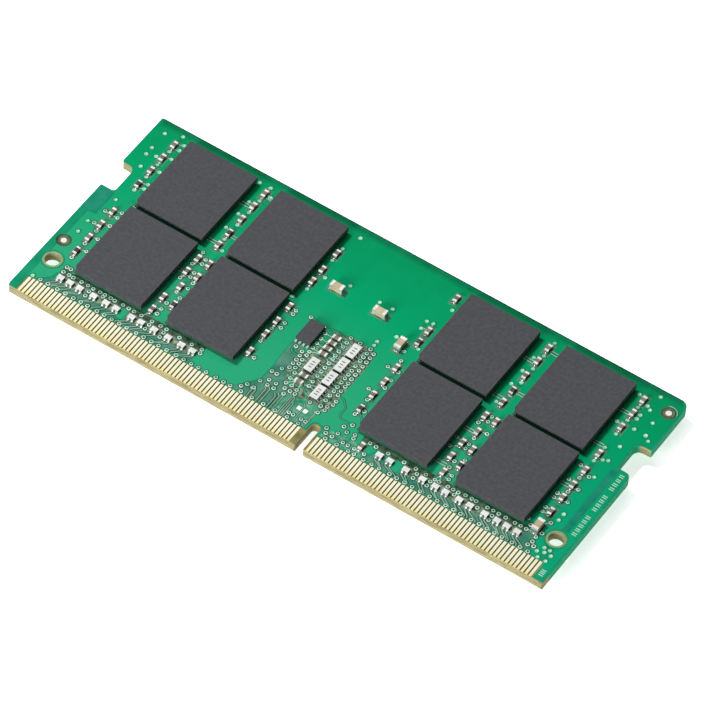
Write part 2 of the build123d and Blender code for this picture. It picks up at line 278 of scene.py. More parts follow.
def varied_material(
    name, low, high, scale, roughness, metallic=0.0, specular=0.5, grain_scale=8.0, grain_depth=0.00001
):
    """Material whose colour and roughness wander between two values, with a fine grain."""
    material = plain_material(name, low, roughness[0], metallic, specular)
    tree = material.node_tree
    shader = tree.nodes["Principled BSDF"]
    field = noise(tree, scale, 4.0)
    color = ramp(tree, field, [(0.32, low), (0.68, high)])
    tree.links.new(color, shader.inputs["Base Color"])
    tree.links.new(spread(tree, field, *roughness), shader.inputs["Roughness"])
    bump(tree, shader, noise(tree, grain_scale, 6.0), grain_depth)
    return material


def mask_material(name):
    """Green lacquer: a soft, slightly wavy gloss."""
    grain = {"grain_scale": 1.6, "grain_depth": 0.000012}
    return varied_material(name, *MASK_COLORS[name], 0.55, LACQUER_ROUGHNESS, specular=0.02, **grain)


def fade(tree, value, start, end):
    """Fraction that climbs from 0 to 1 as a value goes from start to end."""
    node = tree.nodes.new("ShaderNodeMapRange")
    node.inputs["From Min"].default_value = start
    node.inputs["From Max"].default_value = end
    tree.links.new(value, node.inputs["Value"])
    return node.outputs["Result"]


def size_along(tree, vector, axis):
    """Size of one component of a vector, whichever way it points."""
    parts = tree.nodes.new("ShaderNodeSeparateXYZ")
    tree.links.new(vector, parts.inputs["Vector"])
    size = tree.nodes.new("ShaderNodeMath")
    size.operation = "ABSOLUTE"
    tree.links.new(parts.outputs[axis], size.inputs[0])
    return size.outputs["Value"]


def blend(tree, fraction, color, tint, kind="MIX"):
    """Blend a colour into a plain tint by a fraction."""
    mix = tree.nodes.new("ShaderNodeMix")
    mix.data_type = "RGBA"
    mix.blend_type = kind
    mix.inputs["B"].default_value = (*tint, 1)
    tree.links.new(fraction, mix.inputs["Factor"])
    tree.links.new(color, mix.inputs["A"])
    return mix.outputs["Result"]


def fade_over_card(tree, color, tint, axis, places_mm, kind="MIX"):
    """Fade a colour into a tint between two places along one side of the card."""
    coordinates = tree.nodes.new("ShaderNodeTexCoord")
    parts = tree.nodes.new("ShaderNodeSeparateXYZ")
    tree.links.new(coordinates.outputs["Object"], parts.inputs["Vector"])
    corner = CARD_CORNER.x if axis == "X" else CARD_CORNER.y
    start, end = (corner + place * MM for place in places_mm)
    return blend(tree, fade(tree, parts.outputs[axis], start, end), color, tint, kind)


def laminate_material():
    """Woven glass and epoxy, with its plies showing on the cut edge."""
    material = plain_material("laminate_weave", (0.29, 0.255, 0.13), 0.6, specular=0.1)
    tree = material.node_tree
    shader = tree.nodes["Principled BSDF"]
    plies = noise(tree, 2.2, 5.0, (0.35, 0.35, 4.0))
    color = ramp(
        tree,
        plies,
        [(0.30, (0.19, 0.16, 0.08)), (0.5, (0.29, 0.255, 0.13)), (0.72, (0.37, 0.335, 0.19))],
    )
    normal = tree.nodes.new("ShaderNodeNewGeometry").outputs["Normal"]
    level = fade(tree, size_along(tree, normal, "Z"), 0.85, 0.97)
    color = blend(tree, level, color, LEVEL_LAMINATE_TINT, "MULTIPLY")
    color = blend(tree, lacquered_walls(tree, normal), color, LACQUERED_WALL)
    tree.links.new(color, shader.inputs["Base Color"])
    bump(tree, shader, noise(tree, 6.0, 6.0, (1, 1, 3)), 0.00003)
    return material


def lacquered_walls(tree, normal):
    """Fraction that picks the walls at the card's ends that look along its length."""
    wall = fade(tree, size_along(tree, normal, "X"), 0.4, 0.7)
    place = tree.nodes.new("ShaderNodeTexCoord").outputs["Object"]
    parts = tree.nodes.new("ShaderNodeSeparateXYZ")
    tree.links.new(place, parts.inputs["Vector"])
    leaning = tree.nodes.new("ShaderNodeMath")
    leaning.operation = "MULTIPLY_ADD"
    leaning.inputs[1].default_value = LACQUER_LINE_LEAN
    tree.links.new(parts.outputs["Y"], leaning.inputs[0])
    tree.links.new(size_along(tree, place, "X"), leaning.inputs[2])
    limit = LACQUER_LINE_MM * MM
    beyond = fade(tree, leaning.outputs["Value"], limit, limit + 0.05 * MM)
    both = tree.nodes.new("ShaderNodeMath")
    both.operation = "MULTIPLY"
    tree.links.new(wall, both.inputs[0])
    tree.links.new(beyond, both.inputs[1])
    return both.outputs["Value"]


def mould_material():
    """Fine matte black moulding compound."""
    material = plain_material("mould_matte", (0.06, 0.061, 0.067), 0.62, specular=0.25)
    tree = material.node_tree
    shader = tree.nodes["Principled BSDF"]
    cloud = noise(tree, 2.4, 9.0)
    color = ramp(tree, cloud, [(0.30, (0.050, 0.051, 0.058)), (0.70, (0.074, 0.075, 0.081))])
    tree.links.new(color, shader.inputs["Base Color"])
    tree.links.new(spread(tree, cloud, 0.58, 0.70), shader.inputs["Roughness"])
    bump(tree, shader, noise(tree, 14.0, 5.0), 0.000016, 0.8)
    return material


def gold_material():
    """Plated gold, pale as painted reflection of the bright surroundings, turning yellower towards the edge.
    """
    material = plain_material("contact_gold", (0.78, 0.75, 0.53), 0.34, metallic=0.45)
    tree = material.node_tree
    shader = tree.nodes["Principled BSDF"]
    pale = ramp(tree, noise(tree, 0.25, 3.0), [(0.3, (0.75, 0.73, 0.50)), (0.7, (0.80, 0.79, 0.57))])
    color = fade_over_card(tree, pale, (0.76, 0.68, 0.33), "Y", GOLD_REFLECTION_FADE_MM)
    tree.links.new(color, shader.inputs["Base Color"])
    rubbing = noise(tree, 3.0, 3.0, (1, 0.1, 1))
    tree.links.new(spread(tree, rubbing, 0.28, 0.40), shader.inputs["Roughness"])
    bump(tree, shader, rubbing, 0.000001)
    return material


def array_material():
    """White glaze on the faces that lie level, with the walls painted dark grey as shade."""
    material = varied_material(
        "white_glaze", (0.64, 0.67, 0.65), (0.76, 0.79, 0.77), 0.8, (0.35, 0.5), grain_scale=10.0
    )
    tree = material.node_tree
    shader = tree.nodes["Principled BSDF"]
    color = shader.inputs["Base Color"].links[0].from_socket
    # Walls fade to dark grey: painted shade
    normal = tree.nodes.new("ShaderNodeNewGeometry").outputs["Normal"]
    wall = fade(tree, size_along(tree, normal, "Z"), 0.6, 0.3)
    tree.links.new(blend(tree, wall, color, (0.09, 0.10, 0.09)), shader.inputs["Base Color"])
    return material


def pour_material():
    """Lacquer over copper, deepest in colour at the rear edge and purest at the right: paler and redder
    towards the front edge as painted sheen, with that red taken out towards the right.
    """
    material = mask_material("mask_over_copper")
    tree = material.node_tree
    shader = tree.nodes["Principled BSDF"]
    color = shader.inputs["Base Color"].links[0].from_socket
    for tint, places_mm in POUR_SHEEN_FADES:
        color = fade_over_card(tree, color, tint, "Y", places_mm)
    color = fade_over_card(tree, color, RIGHT_SHEEN_DIM, "X", RIGHT_SHEEN_FADE_MM, "MULTIPLY")
    tree.links.new(color, shader.inputs["Base Color"])
    return material


def make_materials():
    """Every finish on the card, by the record's slot names and a few more."""
    lacquers = {name: mask_material(name) for name in MASK_COLORS if name != "mask_over_copper"}
    lacquers["mask_over_copper"] = pour_material()
    lacquers["solder_mask"] = lacquers["mask_over_laminate"]
    for name, look in WIRING_LOOKS.items():
        lacquers[name] = varied_material(name, *look, LACQUER_ROUGHNESS, specular=0.05)
    return {
        **lacquers,
        # Darker copy of solder for the chip fillets: painted shade
        "shaded_fillet_solder": varied_material(
            "shaded_fillet_solder", (0.30, 0.30, 0.28), (0.55, 0.55, 0.52), 2.0, (0.2, 0.35), metallic=0.8
        ),
        "gap_shade": varied_material(
            "gap_shade", (0.035, 0.028, 0.012), (0.07, 0.055, 0.025), 2.0, (0.6, 0.8)
        ),
        "print_pale": varied_material("print_pale", (0.38, 0.62, 0.50), (0.55, 0.75, 0.62), 3.0, (0.5, 0.6)),
        "print_dark": varied_material("print_dark", (0.06, 0.06, 0.07), (0.12, 0.12, 0.13), 3.0, (0.5, 0.6)),
        "small_ceramic": varied_material(
            "small_ceramic", (0.11, 0.088, 0.07), (0.24, 0.20, 0.16), 0.6, (0.45, 0.6), grain_scale=12.0
        ),
        "dot_collar": varied_material(
            "dot_collar", (0.08, 0.105, 0.055), (0.16, 0.19, 0.115), 2.5, (0.5, 0.7), specular=0.1
        ),
        "laminate": laminate_material(),
        "mould_compound": mould_material(),
        "gold": gold_material(),
        "tin_plating": varied_material(
            "tin_ends", (0.60, 0.59, 0.55), (0.84, 0.83, 0.79), 1.6, (0.24, 0.42),
            metallic=0.5, grain_scale=7.0,
        ),
        "solder": varied_material(
            "solder_metal", (0.78, 0.78, 0.77), (0.93, 0.93, 0.92), 1.4, (0.16, 0.30),
            metallic=0.55, grain_scale=4.0,
        ),
        "copper": varied_material(
            "copper_foil", (0.72, 0.38, 0.24), (0.85, 0.50, 0.34), 1.0, (0.3, 0.5), metallic=1.0
        ),
        "tinned_copper": varied_material(
            "tinned_dot", (0.70, 0.68, 0.60), (0.84, 0.82, 0.74), 1.5, (0.22, 0.36), metallic=0.4
        ),
        "bare_copper": varied_material(
            "dull_copper", (0.14, 0.28, 0.12), (0.26, 0.40, 0.20), 1.2, (0.4, 0.6), metallic=0.3
        ),
        "capacitor_ceramic": varied_material(
            "tan_ceramic", (0.42, 0.31, 0.18), (0.66, 0.54, 0.37), 0.45, (0.45, 0.6), grain_scale=12.0
        ),
        "white_ceramic": array_material(),
        "resistor_glaze": varied_material(
            "black_glaze", (0.012, 0.012, 0.014), (0.03, 0.03, 0.034), 1.0, (0.25, 0.4)
        ),
        "substrate_resin": varied_material(
            "substrate_green", (0.02, 0.06, 0.035), (0.04, 0.10, 0.06), 1.0, (0.4, 0.55)
        ),
        "silicon": varied_material(
            "ground_silicon", (0.16, 0.16, 0.18), (0.24, 0.24, 0.27), 1.0, (0.2, 0.35)
        ),
    }


def dress_frame():
    """Give every CAD node its finished material and soften its edges."""
    slots = {entry["node"]: entry["material_slot"] for entry in frame["record"]["subparts"]}
    for name, node in frame["nodes"].items():
        node.data.materials.clear()
        finish = "small_ceramic" if name.startswith("capacitor_bodies") else slots[name]
        node.data.materials.append(MATERIALS[finish])
    for name in frame["nodes"]:
        if name.startswith("memory_package") or name == "spd_memory_body":
            add_bevel(name, PACKAGE_BEVEL_MM)
        elif "_ends_" in name or "_bodies_" in name:
            add_bevel(name, SMALL_BEVEL_MM)


def add_bevel(name, width_mm):
    """Bevel the sharp edges of a CAD node, without changing its mesh."""
    modifier = frame["nodes"][name].modifiers.new("soft_edges", "BEVEL")
    modifier.width = width_mm * MM
    modifier.segments = BEVEL_SEGMENTS
    modifier.limit_method = "ANGLE"
    modifier.angle_limit = BEVEL_ANGLE
    modifier.harden_normals = False


# ---------------------------------------------------------------- mesh helpers


def on_face(face, x_mm, y_mm, height_mm):
    """Point over one face of the card."""
    level = FACE_LEVEL[face] + FACE_SIGN[face] * height_mm * MM
    return Vector((CARD_CORNER.x + x_mm * MM, CARD_CORNER.y + y_mm * MM, level))


class Relief:
    """Collects faces for one piece that lies on one face of the card."""

    def __init__(self, face):
        self.face = face
        self.mesh = bmesh.new()

    def point(self, x_mm, y_mm, height_mm):
        """Add one point."""
        return self.mesh.verts.new(on_face(self.face, x_mm, y_mm, height_mm))

    def surface(self, points, material_index):
        """Add one face, turned so that it looks away from the card."""
        ordered = points if self.face == "front" else list(reversed(points))
        made = self.mesh.faces.new(ordered)
        made.material_index = material_index
        made.smooth = True

    def finish(self, name, finishes, slot):
        """Turn the faces into a named piece that rides on the card."""
        data = bpy.data.meshes.new(name)
        self.mesh.to_mesh(data)
        self.mesh.free()
        for finish in finishes:
            data.materials.append(MATERIALS[finish])
        piece = bpy.data.objects.new(name, data)
        bpy.context.scene.collection.objects.link(piece)
        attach(piece, "root")


# Via section from outside in: radius and height as shares of the rim's, and which finish
VIA_PROFILE = (
    (1.5, 0.27, 2),
    (1.04, 0.27, 2),
    (0.96, 0.75, 0),
    (0.78, 1.0, 0),
    (0.58, 0.92, 0),
    (0.42, 0.45, 1),
)
# Height of its centre, as a share of the rim's
VIA_FLOOR = 0.3
# Which finishes its rim, centre and clearance have, by whether it is plugged
RING_FINISHES = ("via_rim_highlight", "via_pit", "mask_clearance", "via_cap", "mask_near_edge")
VIA_FINISHES = {False: (0, 1, 2), True: (3, 0, 4)}
VIA_STEPS = 14
# Small random lifts keep vias and traces that cross from sharing a level
VIA_LIFT_MM = 0.002
TRACE_LIFT_MM = 0.0015
# Half widths of a raised line at its foot and top, and the least share of it left at a sharp corner
FOOT_SHARE = 1.25
TOP_SHARE = 0.75
LEAST_MITRE = 0.4


def add_via(relief, x_mm, y_mm, scale, plugged):
    """Tented via: a dark clearance, then a raised rim round a dimple, dark unless plugged; the rim's paleness
    is partly the lacquer over copper, partly painted highlight.
    """
    finishes = VIA_FINISHES[plugged]
    lift = random.uniform(0, VIA_LIFT_MM)
    rings = []
    for radius, height, _ in VIA_PROFILE:
        ring = []
        for step in range(VIA_STEPS):
            turn = 2 * math.pi * step / VIA_STEPS
            reach = VIA_RADIUS_MM * scale * radius
            spot = (x_mm + reach * math.cos(turn), y_mm + reach * math.sin(turn))
            ring.append(relief.point(*spot, VIA_HEIGHT_MM * height + lift))
        rings.append(ring)
    for (outer, inner), (_, _, finish) in zip(zip(rings, rings[1:]), VIA_PROFILE[1:]):
        for step in range(VIA_STEPS):
            after = (step + 1) % VIA_STEPS
            relief.surface([outer[step], outer[after], inner[after], inner[step]], finishes[finish])
    centre = relief.point(x_mm, y_mm, VIA_HEIGHT_MM * VIA_FLOOR + lift)
    for step in range(VIA_STEPS):
        relief.surface([rings[-1][step], rings[-1][(step + 1) % VIA_STEPS], centre], finishes[1])


def add_ribbon(relief, path, width_mm, height_mm, foot_mm, material_index):
    """Raised line with sloping sides and mitred corners."""
    points = [Vector(point) for point in path]
    rails = []
    for index, point in enumerate(points):
        before = (point - points[index - 1]).normalized() if index else None
        after = (points[index + 1] - point).normalized() if index + 1 < len(points) else None
        along = ((before or after) + (after or before)).normalized()
        across = Vector((-along.y, along.x))
        leg = before or after
        stretch = 1 / max(LEAST_MITRE, abs(across.dot(Vector((-leg.y, leg.x)))))
        half = width_mm / 2 * stretch
        rails.append(
            [
                relief.point(*(point + across * half * FOOT_SHARE), foot_mm),
                relief.point(*(point + across * half * TOP_SHARE), height_mm),
                relief.point(*(point - across * half * TOP_SHARE), height_mm),
                relief.point(*(point - across * half * FOOT_SHARE), foot_mm),
            ]
        )
    for start, end in zip(rails, rails[1:]):
        for side in range(3):
            corners = [start[side + 1], end[side + 1], end[side], start[side]]
            relief.surface(corners, material_index)


def add_trace(relief, path, finish):
    """Trace under the mask, in the darker gap that separates it from the copper area."""
    lift = random.uniform(0, TRACE_LIFT_MM)
    add_ribbon(relief, path, CLEARANCE_WIDTH_MM, CLEARANCE_HEIGHT_MM + lift, 0.0, 0)
    add_ribbon(relief, path, TRACE_WIDTH_MM, TRACE_HEIGHT_MM + lift, CLEARANCE_HEIGHT_MM, finish)


def islands(node):
    """Boxes (low, high) of the separate solids in a CAD node, in card millimetres."""
    mesh = bmesh.new()
    mesh.from_mesh(frame["nodes"][node].data)
    bmesh.ops.remove_doubles(mesh, verts=mesh.verts, dist=1e-7)
    boxes = []
    seen = set()
    for start in mesh.verts:
        if start in seen:
            continue
        seen.add(start)
        stack = [start]
        low = start.co.copy()
        high = start.co.copy()
        while stack:
            vertex = stack.pop()
            low = Vector(map(min, low, vertex.co))
            high = Vector(map(max, high, vertex.co))
            for edge in vertex.link_edges:
                other = edge.other_vert(vertex)
                if other not in seen:
                    seen.add(other)
                    stack.append(other)
        boxes.append(((low - CARD_CORNER) / MM, (high - CARD_CORNER) / MM))
    mesh.free()
    return boxes


def thickness(node):
    """Height of a CAD node, in millimetres."""
    low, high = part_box(node)
    return (high.z - low.z) / MM


def middle(box):
    """Centre of a box, in card millimetres."""
    return (box[0] + box[1]) / 2


# ---------------------------------------------------------------- places on the card


# Vias stand where they were seen on the front, to the nearest 0.05 mm.
# Those that share a column: the column's x, then each via's y
FRONT_VIA_COLUMNS = (
    (1.55, (28.2, 25.65, 24.55)),
    (1.9, (12.8, 10.95)),
    (2.65, (24.9, 17.1, 15.05, 12.95)),
    (3.5, (29.0, 26.3, 24.45, 23.95, 21.75, 19.45, 12.1, 9.9, 7.45)),
    (4.3, (28.0, 27.1, 25.55, 23.2, 21.0, 20.2, 15.9, 15.05, 13.6, 11.25, 9.1)),
    (14.75, (25.55, 23.4, 21.0, 16.55, 14.5, 12.1)),
    (15.6, (28.55, 26.3, 24.2, 22.0, 19.45, 15.8, 15.1, 13.55, 12.8, 10.2, 8.25, 7.25, 6.4)),
    (16.35, (27.4, 17.95, 12.25, 11.3, 9.7)),
    (26.9, (26.0, 23.95, 18.95, 12.1, 9.9)),
    (27.65, (28.45, 21.45, 15.7, 15.1, 13.55, 12.75, 7.55)),
    (31.5, (10.7, 10.05, 9.4, 8.7)),
    (32.05, (14.9, 14.05, 13.25, 12.45, 11.8, 11.2, 10.4, 9.75, 9.05)),
    (32.4, (8.45, 7.55, 6.75)),
    (34.65, (16.05, 15.2, 14.5, 13.7, 13.0, 12.4, 11.7, 10.95, 10.25, 9.5, 8.55, 7.8)),
    (37.25, (17.3, 16.7, 16.0, 15.25, 14.6, 13.95, 13.05, 12.3)),
    (37.25, (11.6, 10.95, 10.25, 9.5, 8.8, 8.05, 7.2, 6.25)),
    (37.9, (15.6, 14.9, 14.2, 13.45, 12.75, 12.05, 11.3, 10.6, 10.0, 9.25, 8.6, 6.55, 6.0)),
    (40.1, (22.9, 21.7, 15.1, 11.3)),
    (40.85, (23.0, 16.6, 9.9, 7.5, 5.4, 4.2)),
    (41.5, (25.8, 19.05, 15.05, 13.7, 12.4, 8.4, 6.1, 4.9)),
    (52.3, (25.5, 23.25, 21.0, 17.95, 14.4)),
    (53.1, (28.5, 26.3, 24.1, 21.75, 19.55, 15.9, 15.1, 12.25, 11.3, 10.55, 8.4, 7.4)),
    (53.95, (13.6, 9.2, 6.6, 6.0)),
    (64.4, (27.95, 23.35, 16.0, 13.6, 11.3, 10.6, 9.0, 8.3, 6.0)),
    (65.25, (26.3, 24.1, 22.4, 21.8, 19.55, 17.3, 14.4, 12.1)),
    (66.0, (27.1, 25.55, 24.9, 17.95, 15.15, 13.0, 10.9, 7.5, 5.75)),
    (66.5, (29.0, 26.75, 23.55, 20.6, 18.25, 15.45, 9.3, 8.3)),
)

# Those that share a row: the row's y, then each via's x
FRONT_VIA_ROWS = (
    (5.2, (3.95, 4.7, 5.3, 6.4, 7.25, 8.0, 8.85, 9.5, 10.3, 10.85, 11.9, 12.7, 13.4, 14.4, 15.8, 16.9, 17.7)),
    (5.1, (19.5, 21.1, 22.4, 42.45, 44.4, 45.2, 46.75, 48.8, 50.3, 51.6, 52.75, 53.3, 54.4, 55.1, 55.75)),
    (5.25, (56.6, 57.4, 57.95, 59.4, 60.1, 60.85, 61.7, 62.9, 63.6, 64.3)),
    (4.6, (7.8, 15.8, 17.7, 22.55, 42.6, 50.75, 52.5, 55.55, 58.5, 60.4)),
    (3.9, (7.8, 15.75, 17.7, 50.75, 52.5, 60.4)),
    (3.5, (28.7, 34.95, 35.5, 36.55, 37.1, 39.75, 40.55, 41.95, 42.6, 43.45, 44.7)),
    (4.1, (29.1, 29.95, 39.45)),
    (5.3, (30.0, 30.95, 31.75, 33.05, 37.45)),
    (6.0, (3.9, 4.4, 30.7, 31.6, 32.7, 33.4, 34.05, 36.0)),
    (7.15, (30.25, 30.9, 38.25)),
)

# Vias on their own
FRONT_SINGLE_VIAS = (
    (2.1, 22.7), (5.0, 17.4), (9.45, 4.9), (14.15, 28.55), (26.2, 17.15), (29.5, 15.9),
    (30.45, 11.55), (31.4, 11.35), (30.9, 8.1), (30.5, 22.1), (33.1, 6.75), (33.9, 6.55),
    (34.45, 22.1), (36.1, 22.1), (35.9, 16.0), (38.25, 7.75), (38.6, 19.1), (40.4, 17.9),
    (51.5, 11.4), (51.5, 9.9), (63.75, 6.7), (67.7, 25.4), (68.0, 23.5), (68.6, 23.0),
    (65.75, 4.95), (65.75, 4.25), (65.55, 3.6), (66.2, 3.8), (66.8, 3.5), (67.25, 4.3),
    (67.95, 4.3), (67.6, 3.75), (68.4, 3.75),
)

# Vias beyond these lines are plugged, and have no dark dimple
PLUGGED_ABOVE = 16.6
PLUGGED_LEFT_OF = 2.2
PLUGGED_RIGHT_OF = 66.3

# One via over most second contacts
CONTACT_VIA_ROW = 2.85
LEFT_CONTACT_VIAS = (
    1.5, 2.55, 3.55, 4.8, 5.9, 6.95, 7.95, 8.85, 10.1, 11.05, 12.05, 13.05, 14.05, 15.3, 16.3, 17.3,
    18.3, 19.35, 20.6, 21.6, 22.6, 23.55, 24.55, 25.8, 26.85, 27.75, 29.1, 30.55, 32.05, 33.55, 35.1, 36.6,
)
RIGHT_CONTACT_VIAS = (
    40.1, 41.55, 43.05, 43.8, 45.05, 46.1, 47.05, 48.4, 49.35, 50.3, 51.3, 52.35, 53.55, 54.55, 55.6,
    56.6, 57.5, 58.85, 59.85, 60.85, 61.8, 62.8, 64.05, 65.05, 66.05, 67.3, 68.3,
)

# Single traces, each a list of corners
FRONT_TRACES = (
    ((38.05, 8.5), (38.75, 8.5), (39.6, 7.6), (39.6, 6.45), (40.0, 6.05), (41.4, 6.05)),
    ((33.6, 7.3), (34.3, 7.3), (35.2, 6.4), (35.6, 6.2)),
    ((41.2, 8.0), (42.3, 6.8)),
    ((29.7, 15.9), (34.4, 15.9)),
    ((31.1, 15.65), (32.2, 15.65), (32.6, 15.4), (32.6, 13.0)),
    ((30.45, 11.25), (30.8, 11.0), (31.3, 11.0)),
    ((30.25, 11.3), (30.25, 10.95), (30.6, 10.65), (31.2, 10.65)),
    ((40.1, 22.7), (40.1, 22.2), (40.6, 21.8)),
    ((41.2, 26.7), (41.8, 26.4), (42.3, 26.4)),
    ((41.2, 27.0), (42.3, 27.0)),
    ((4.1, 18.0), (4.6, 17.9), (5.0, 17.4)),
    ((4.2, 19.8), (5.2, 18.7)),
    ((16.3, 17.95), (16.8, 17.95), (17.3, 17.4)),
    ((31.9, 8.3), (32.6, 7.2), (32.9, 6.2)),
)

# Pairs of short level traces: y of the upper one, its ends in x
TWIN_TRACES = (
    (27.4, 16.0, 17.2),
    (20.45, 16.0, 17.2),
    (25.15, 14.0, 15.2),
    (18.7, 14.0, 15.2),
    (13.2, 14.0, 14.7),
    (27.4, 53.5, 54.9),
    (20.5, 53.5, 54.9),
    (25.1, 51.3, 52.8),
    (18.9, 51.3, 52.8),
    (13.2, 51.3, 52.8),
    (7.65, 51.3, 52.7),
    (25.2, 63.7, 65.0),
    (19.8, 63.7, 65.0),
    (13.0, 63.7, 65.0),
)
TWIN_GAP = 0.36

# Upright traces that rise from the contacts in the middle of the card
RISER_COLUMNS = (29.9, 30.3, 31.1, 31.5, 32.5, 32.85, 33.2, 33.9, 34.15, 34.4, 34.65, 35.9, 37.3)
RISER_SLANT = 0.3
RISER_TOPS = (3.7, 3.9, 4.7, 4.9, 4.5, 4.7, 4.9, 5.5, 5.6, 5.4, 4.8, 5.2, 5.0)

# Card features that the copper keeps away from
HOLES = ((1.95, 6.0), (67.65, 6.0))
HOLE_CLEARANCE = 1.38
LEFT_DOT = (1.35, 8.95)
RIGHT_DOT = (68.35, 27.6)
DOT_CLEARANCE = 0.72
POUR_LEFT = 1.05
POUR_RIGHT = 67.4
MARGIN_LEFT = 68.3


def arc(centre, radius, start_degrees, end_degrees, steps=18):
    """Points along an arc."""
    points = []
    for step in range(steps + 1):
        turn = math.radians(start_degrees + (end_degrees - start_degrees) * step / steps)
        points.append((centre[0] + radius * math.cos(turn), centre[1] + radius * math.sin(turn)))
    return points


def circle(centre, radius, sides):
    """Closed loop round a centre."""
    return arc(centre, radius, 0, 360 - 360 // sides, sides - 1)


def crossing(centre, radius, x_mm):
    """Angle, in degrees, at which a circle crosses an upright line."""
    return math.degrees(math.acos((x_mm - centre[0]) / radius))


def main_pour():
    """Outline of the main copper area, leaving out the strips that carry traces."""
    dot_turn = crossing(LEFT_DOT, DOT_CLEARANCE, POUR_LEFT)
    left_turn = crossing(HOLES[0], HOLE_CLEARANCE, POUR_LEFT)
    right_turn = crossing(HOLES[1], HOLE_CLEARANCE, POUR_RIGHT)
    bottom = [
        (POUR_LEFT, 2.75), (2.0, 2.75), (3.2, 3.9), (3.4, 4.9), (12.1, 4.9), (12.1, 3.5), (12.9, 3.5),
        (12.9, 4.9), (22.3, 4.9), (22.3, 2.75), (27.8, 2.75), (28.3, 3.5), (29.8, 5.6), (29.9, 8.0),
        (29.7, 9.8), (29.7, 12.1), (31.35, 12.1), (31.4, 8.9), (32.2, 7.9), (32.9, 6.9), (32.7, 4.4),
        (33.3, 3.2), (33.3, 2.75), (37.65, 2.75), (37.65, 3.6), (38.0, 4.1), (38.45, 4.2), (38.9, 4.1),
        (39.25, 3.6), (39.25, 2.75), (44.6, 2.75), (45.6, 4.9), (48.0, 4.9), (48.0, 3.4), (48.9, 3.4),
        (48.9, 4.9), (64.3, 4.9), (65.9, 5.0), (66.1, 2.75), (POUR_RIGHT, 2.75),
    ]
    right = arc(HOLES[1], HOLE_CLEARANCE, -right_turn, right_turn - 360)
    right += [(POUR_RIGHT, 17.7), (67.65, 17.9), (67.65, 21.6), (68.0, 22.2), (69.4, 22.35)]
    right += [(69.4, 28.6), (69.2, 29.0)]
    left = [(0.15, 29.0), (0.15, 22.4), (1.2, 22.3), (1.95, 21.6), (1.95, 18.0)]
    left += [(2.05, 17.9), (2.05, 14.1), (1.2, 14.0), (POUR_LEFT, 13.8)]
    left += arc(LEFT_DOT, DOT_CLEARANCE, dot_turn, -dot_turn)
    left += arc(HOLES[0], HOLE_CLEARANCE, left_turn, -left_turn)
    return bottom + right + left


def margin_pour():
    """Outline of the copper along the lower right edge."""
    turn = crossing(HOLES[1], HOLE_CLEARANCE, MARGIN_LEFT)
    left = [(MARGIN_LEFT, 17.6)] + arc(HOLES[1], HOLE_CLEARANCE, turn, -turn) + [(MARGIN_LEFT, 3.0)]
    return left + [(68.5, 0.6), (69.2, 0.6), (69.35, 0.8), (69.35, 17.3), (69.0, 17.7)]


def block(left, low, right, high):
    """Outline of a plain rectangle."""
    return [(left, low), (right, low), (right, high), (left, high)]


# ---------------------------------------------------------------- flat relief


def add_plate(name, face, loops, height_mm, finish, base_mm=0.0):
    """Flat raised area bounded by closed loops, the inner loops being openings."""
    curve = bpy.data.curves.new(name, "CURVE")
    curve.dimensions = "2D"
    curve.fill_mode = "BOTH"
    curve.extrude = height_mm / 2
    for loop in loops:
        spline = curve.splines.new("POLY")
        spline.points.add(len(loop) - 1)
        for point, place in zip(spline.points, loop):
            point.co = (*place, 0, 1)
        spline.use_cyclic_u = True
    holder = bpy.data.objects.new(name, curve)
    mesh = bpy.data.meshes.new_from_object(holder)
    bpy.data.objects.remove(holder)
    bpy.data.curves.remove(curve)
    sign = FACE_SIGN[face]
    middle_level = FACE_LEVEL[face] + sign * (base_mm + height_mm / 2) * MM
    for vertex in mesh.vertices:
        x, y, z = vertex.co
        vertex.co = (CARD_CORNER.x + x * MM, CARD_CORNER.y + y * MM, middle_level + z * MM)
    mesh.materials.clear()
    mesh.materials.append(MATERIALS[finish])
    piece = bpy.data.objects.new(name, mesh)
    bpy.context.scene.collection.objects.link(piece)
    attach(piece, "root")


# Strips along the rear edge: name, lower and upper y, and finish
REAR_STRIPS = (
    ("rear_blend", 29.02, 29.3, "mask_near_edge"),
    ("rear_band", 29.32, 29.87, "mask_over_edge"),
    # The thin dark line along the edge is painted shade
    ("rear_line", 29.88, 29.995, "edge_shade"),
)
# Their left end, and the line of their right ends, which leans with the card's rounded corner
REAR_LEFT = 0.25
REAR_CORNER = 83.8

# Bare strips between the copper, where traces fan out to the contacts
FAN_AREAS = (
    ((2.4, 2.78), (3.6, 3.95), (3.7, 4.8), (12.05, 4.8), (12.05, 3.45), (12.5, 2.78)),
    ((12.6, 2.78), (12.95, 3.45), (12.95, 4.8), (22.25, 4.8), (22.25, 2.78)),
    (
        (27.9, 2.78), (28.4, 3.5), (29.9, 5.6), (30.0, 8.0), (29.8, 9.8), (29.8, 12.0), (31.25, 12.0),
        (31.3, 8.7), (32.1, 7.9), (32.8, 6.9), (32.6, 2.78),
    ),
    ((44.9, 2.78), (45.8, 4.8), (47.95, 4.8), (47.95, 2.78)),
    ((49.0, 2.78), (49.0, 4.8), (65.8, 4.9), (65.9, 2.78)),
)

